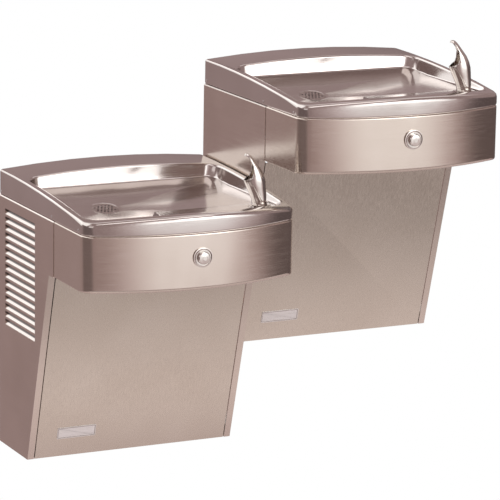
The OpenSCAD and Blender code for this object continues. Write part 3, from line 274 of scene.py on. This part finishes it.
finishes = {name: brushed_steel(name, *look) for name, look in SHEETS.items()}
finishes.update({name: plain_metal(name, *look) for name, look in METALS.items()})
finishes.update({name: coated(name, *look) for name, look in COATS.items()})
# The blades' finish is painted shade, darker towards the top of each blade.
finishes["louver_steel_painted_shade"] = louver_metal_with_painted_shade("louver_steel_painted_shade", LOUVER_TOP, LOUVER_PITCH)
finishes["plate"] = bare_plate_metal("plate")
finishes["zinc_steel"] = spangled_zinc("zinc_steel")

slot_of = {part["node"]: part["material_slot"] for part in record["subparts"]}
for name, piece in nodes.items():
    piece.data.materials.clear()
    piece.data.materials.append(finishes[slot_of[name]])


# A finished copy of each pressed sheet and fitting, with rounded sheet edges and smooth curves.

# Corners closer than the first become one, and so do triangles that are flat within the second.
WELD = 0.00001
SAME_FACE = 1.0

# Folds sharper than this get a rounded edge, of the widths that follow.
FOLD = 35
SHEET_EDGE = 0.0004
THICK_SHEET_EDGE = 0.0005

# Folds less sharp than these are shaded smooth.
FLAT_SHEET = 20
TURNED = 24
DRAWN_SHEET = 28
CAST = 40
COILED = 50

# The border on the bare plate: how far in it starts, how wide it is, and how deep the field lies in it.
BORDER_INSET = 0.0012
BORDER_WIDTH = 0.0014
FIELD_DEPTH = 0.0003


def body_of(node):
    for body, members in record["behaviour"]["bodies"].items():
        if node in members:
            return body
    raise ValueError(node)


def finished_copy(node, name, smooth_angle, edge=0.0, flat=True):
    """Copies a node as a new piece, welds its triangles, rounds its sheet edges and smooths its curves.

    The triangles of a flat sheet are joined into whole faces, and those of a rounded form are kept.
    """
    pick(nodes[node])
    bpy.ops.object.duplicate()
    piece = bpy.context.object
    piece.name = name
    piece.parent = None
    for key in [key for key in piece.keys() if key.startswith("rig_")]:
        del piece[key]
    bpy.ops.object.mode_set(mode="EDIT")
    bpy.ops.mesh.select_all(action="SELECT")
    bpy.ops.mesh.remove_doubles(threshold=WELD)
    if flat:
        bpy.ops.mesh.dissolve_limited(angle_limit=math.radians(SAME_FACE))
    bpy.ops.object.mode_set(mode="OBJECT")
    if edge:
        rounding = piece.modifiers.new("rounding", "BEVEL")
        rounding.width = edge
        rounding.segments = 2
        rounding.limit_method = "ANGLE"
        rounding.angle_limit = math.radians(FOLD)
        rounding.use_clamp_overlap = True
        bpy.ops.object.modifier_apply(modifier=rounding.name)
    bpy.ops.object.shade_smooth_by_angle(angle=math.radians(smooth_angle))
    even = piece.modifiers.new("even", "WEIGHTED_NORMAL")
    even.keep_sharp = True
    bpy.ops.object.modifier_apply(modifier=even.name)
    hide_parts(node)
    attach(piece, body_of(node))
    return piece


def paint_shade_on_louvers(panel):
    """Gives the blades, which face out to the left and upwards, their own finish with painted shade."""
    panel.data.materials.append(finishes["louver_steel_painted_shade"])
    for face in panel.data.polygons:
        if face.normal.x < -0.5 and face.normal.z > 0.4:
            face.material_index = 1


def bordered_plate(level):
    """The bare plate with a darker border round a flat field, as stamped plates of this kind have."""
    plate = finished_copy("nameplate_" + level, "bare_plate_" + level, FLAT_SHEET)
    plate.data.materials.append(finishes["plate_rim"])
    faces = plate.data.polygons
    front = max(faces, key=lambda face: -face.area * face.normal.y).normal.copy()
    field = [face.index for face in faces if face.normal.dot(front) > 0.999]
    bpy.ops.object.mode_set(mode="EDIT")
    bpy.ops.mesh.select_all(action="DESELECT")
    bpy.ops.object.mode_set(mode="OBJECT")
    for index in field:
        plate.data.polygons[index].select = True
    bpy.ops.object.mode_set(mode="EDIT")
    bpy.ops.mesh.select_mode(type="FACE")
    bpy.ops.mesh.inset(thickness=BORDER_INSET, depth=0)
    plate.active_material_index = 1
    bpy.ops.object.material_slot_assign()
    bpy.ops.mesh.inset(thickness=BORDER_WIDTH, depth=-FIELD_DEPTH)
    plate.active_material_index = 0
    bpy.ops.object.material_slot_assign()
    bpy.ops.object.mode_set(mode="OBJECT")
    bpy.ops.mesh.customdata_custom_splitnormals_clear()
    bpy.ops.object.shade_flat()


def return_spring(level):
    """The coil behind the button, between it and its seat on the valve, as a smoothed copy with a mesh of
    its own.
    """
    spring = finished_copy("button_spring_" + level, "return_spring_" + level, COILED, flat=False)
    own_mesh(spring)


for level in LEVELS:
    finished_copy("basin_" + level, "basin_shell_" + level, DRAWN_SHEET, flat=False)
    finished_copy("apron_" + level, "apron_shell_" + level, DRAWN_SHEET, flat=False)
    finished_copy("bubbler_" + level, "bubbler_cast_" + level, CAST, flat=False)
    finished_copy("push_button_" + level, "button_cap_" + level, TURNED, flat=False)
    finished_copy("button_bezel_" + level, "button_ring_" + level, TURNED, flat=False)
    # The left side's louver blades get their painted shade.
    paint_shade_on_louvers(finished_copy("side_panel_left_" + level, "left_side_" + level, FLAT_SHEET, SHEET_EDGE))
    finished_copy("side_panel_right_" + level, "right_side_" + level, FLAT_SHEET, SHEET_EDGE)
    finished_copy("access_panel_" + level, "slant_front_" + level, FLAT_SHEET, THICK_SHEET_EDGE)
    finished_copy("wall_hanger_" + level, "hanger_plate_" + level, FLAT_SHEET, THICK_SHEET_EDGE)
    strainer = finished_copy("drain_strainer_" + level, "strainer_plate_" + level, FLAT_SHEET)
    strainer.data.materials[0] = finishes["strainer_steel"]
    nodes["drain_cup_" + level].data.materials[0] = finishes["black_plastic"]
    bordered_plate(level)
    return_spring(level)


# Studio, light and camera.

FLOOR_SIZE = 60
FLOOR_PLACE = (0, 0, -1.15)
FLOOR_LOOK = ((0.8, 0.8, 0.8), (0.78, 0.78, 0.78), 0.9, 20, 0.0001)

CARD_SIZE = (5, 1.1, 1)
CARD_PLACE = (0.6, -1.35, -1.14)
CARD_COLOUR = (1, 0.88, 0.86, 1)

ROOM_LIGHT = 0.8
WHITE = (1, 1, 1, 1)
DIM_TONE = (0.22, (1, 0.76, 0.75))
BRIGHT_TONE = (0.62, (1, 0.985, 0.99))

# What the metal mirrors, as patches of light round the part. Each has its left and right side in degrees
# from straight in front of the wall, its foot and head in degrees above the horizon, the softness of its
# edges in degrees, and the light that it adds or takes away.
PATCHES = (
    (-200, 200, -95, 95, 1, 0.42),     # overall grey of the room
    (-200, 200, -95, -27, 9, 0.24),    # the pale floor
    (-8, 46, -22, 44, 15, 0.78),       # wide softbox in front
    (-2, 50, -3, 36, 5, 0.95),         # its bright heart, above the horizon
    (104, 176, 40, 64, 5, 0.6),        # light high up behind, from the right
    (-178, -92, 26, 64, 4, 1.3),       # and, stronger, from the left
    (-178, -128, 3, 30, 4, 1.05),      # low strip behind, caught by the louvers and the left edges
    (-118, -48, -27, 22, 12, -0.2),    # dark flag at the left front
    (60, 178, -30, 6, 8, -0.27),       # dark flag at the right
)

# Each lamp's place, its width and height, and its power in watts.
LAMPS = {
    "key": ((1.6, -3.2, 1.9), (1.6, 1.2), 12),
    "fill": ((-2.6, -1.8, 1.2), (1.5, 1.5), 5),
    "top": ((0.3, -0.9, 2.4), (2.0, 1.0), 8),
}
LAMP_TARGET = (0.2, -0.3, 0.0)

CAMERA_PLACE = (-2.491, -5.8358, 1.3476)
CAMERA_TURN = -25.932
CAMERA_DIP = 12.543
CAMERA_ROLL = 0.931
LENS_MM = 222.66
SENSOR_MM = 36
FAR_CLIP = 200


def studio():
    """A pale floor well below the part, which lights the undersides, and a low card in front of it."""
    deselect_all()
    bpy.ops.mesh.primitive_plane_add(size=FLOOR_SIZE, location=FLOOR_PLACE)
    floor = bpy.context.object
    floor.name = "floor"
    floor.data.materials.append(coated("floor_pale", *FLOOR_LOOK))
    floor.visible_camera = False
    floor.visible_glossy = False
    bpy.ops.mesh.primitive_plane_add(size=1, location=CARD_PLACE)
    card = bpy.context.object
    card.name = "low_card"
    card.scale = CARD_SIZE
    card.data.materials.append(card_glow())
    card.visible_camera = False
    card.visible_shadow = False


def card_glow():
    """White light, brighter towards the wall, that lifts the foot of the slanted fronts."""
    glow = bpy.data.materials.new("card_glow")
    glow.use_nodes = True
    tree = glow.node_tree
    tree.nodes.remove(tree.nodes["Principled BSDF"])
    depth = parted(tree, tree.nodes.new("ShaderNodeTexCoord").outputs["Object"])["Y"]
    light = tree.nodes.new("ShaderNodeEmission")
    light.inputs["Color"].default_value = CARD_COLOUR
    plug(tree, light.inputs["Strength"], ranged(tree, depth, -0.15, 0.35, low=0.4, high=1.0))
    plug(tree, tree.nodes["Material Output"].inputs["Surface"], light.outputs["Emission"])
    return glow


def world_light():
    """The patches for what the metal mirrors, plain room light for the rest, and white for the camera."""
    world = bpy.data.worlds.new("studio_world")
    bpy.context.scene.world = world
    world.use_nodes = True
    tree = world.node_tree
    way = parted(tree, tree.nodes.new("ShaderNodeTexCoord").outputs["Generated"])
    across = maths(tree, "ARCTAN2", way["X"], maths(tree, "MULTIPLY", way["Y"], -1.0))
    rise = maths(tree, "ARCSINE", way["Z"])

    def step(angle, place, soft):
        start, end = math.radians(place - soft), math.radians(place + soft)
        return ranged(tree, angle, start, end, curve="SMOOTHSTEP")

    def between(angle, start, end, soft):
        return maths(tree, "SUBTRACT", step(angle, start, soft), step(angle, end, soft))

    mirrored = 0.0
    for left, right, foot, head, soft, strength in PATCHES:
        width = between(across, left, right, soft)
        height = between(rise, foot, head, soft)
        patch = maths(tree, "MULTIPLY", width, height)
        mirrored = maths(tree, "ADD", mirrored, maths(tree, "MULTIPLY", patch, strength))
    path = tree.nodes.new("ShaderNodeLightPath")
    to_camera = path.outputs["Is Camera Ray"]
    to_metal = maths(tree, "MAXIMUM", path.outputs["Is Glossy Ray"], path.outputs["Is Transmission Ray"])
    strength = mixed(tree, to_camera, mixed(tree, to_metal, ROOM_LIGHT, mirrored), 1.0)
    tone = tinted(tree, maths(tree, "MULTIPLY", strength, 0.5), DIM_TONE, BRIGHT_TONE)
    back = tree.nodes["Background"]
    plug(tree, back.inputs["Strength"], strength)
    plug(tree, back.inputs["Color"], mixed(tree, to_camera, tone, WHITE, kind="RGBA"))


def softbox(name, place, size, power):
    light = bpy.data.lights.new(name, "AREA")
    light.shape = "RECTANGLE"
    light.size, light.size_y = size
    light.energy = power
    lamp = bpy.data.objects.new(name, light)
    bpy.context.scene.collection.objects.link(lamp)
    lamp.location = place
    aim = Vector(LAMP_TARGET) - Vector(place)
    lamp.rotation_euler = aim.to_track_quat("-Z", "Y").to_euler()
    lamp.visible_camera = False


def camera():
    """A long lens a little above the lower basin and to its left."""
    eye = bpy.data.cameras.new("camera")
    eye.sensor_width = SENSOR_MM
    eye.lens = LENS_MM
    eye.clip_end = FAR_CLIP
    rig = bpy.data.objects.new("camera", eye)
    bpy.context.scene.collection.objects.link(rig)
    turn, dip, roll = math.radians(CAMERA_TURN), math.radians(CAMERA_DIP), math.radians(CAMERA_ROLL)
    ahead = Vector((-math.sin(turn) * math.cos(dip), math.cos(turn) * math.cos(dip), -math.sin(dip)))
    right = Vector((math.cos(turn), math.sin(turn), 0))
    up = right.cross(ahead)
    side = math.cos(roll) * right + math.sin(roll) * up
    top = math.cos(roll) * up - math.sin(roll) * right
    axes = Matrix((side, top, -ahead)).transposed().to_4x4()
    rig.matrix_world = Matrix.Translation(CAMERA_PLACE) @ axes
    bpy.context.scene.camera = rig


studio()
world_light()
for name, (place, size, power) in LAMPS.items():
    softbox(name, place, size, power)
camera()
bpy.context.scene.view_settings.view_transform = "Standard"
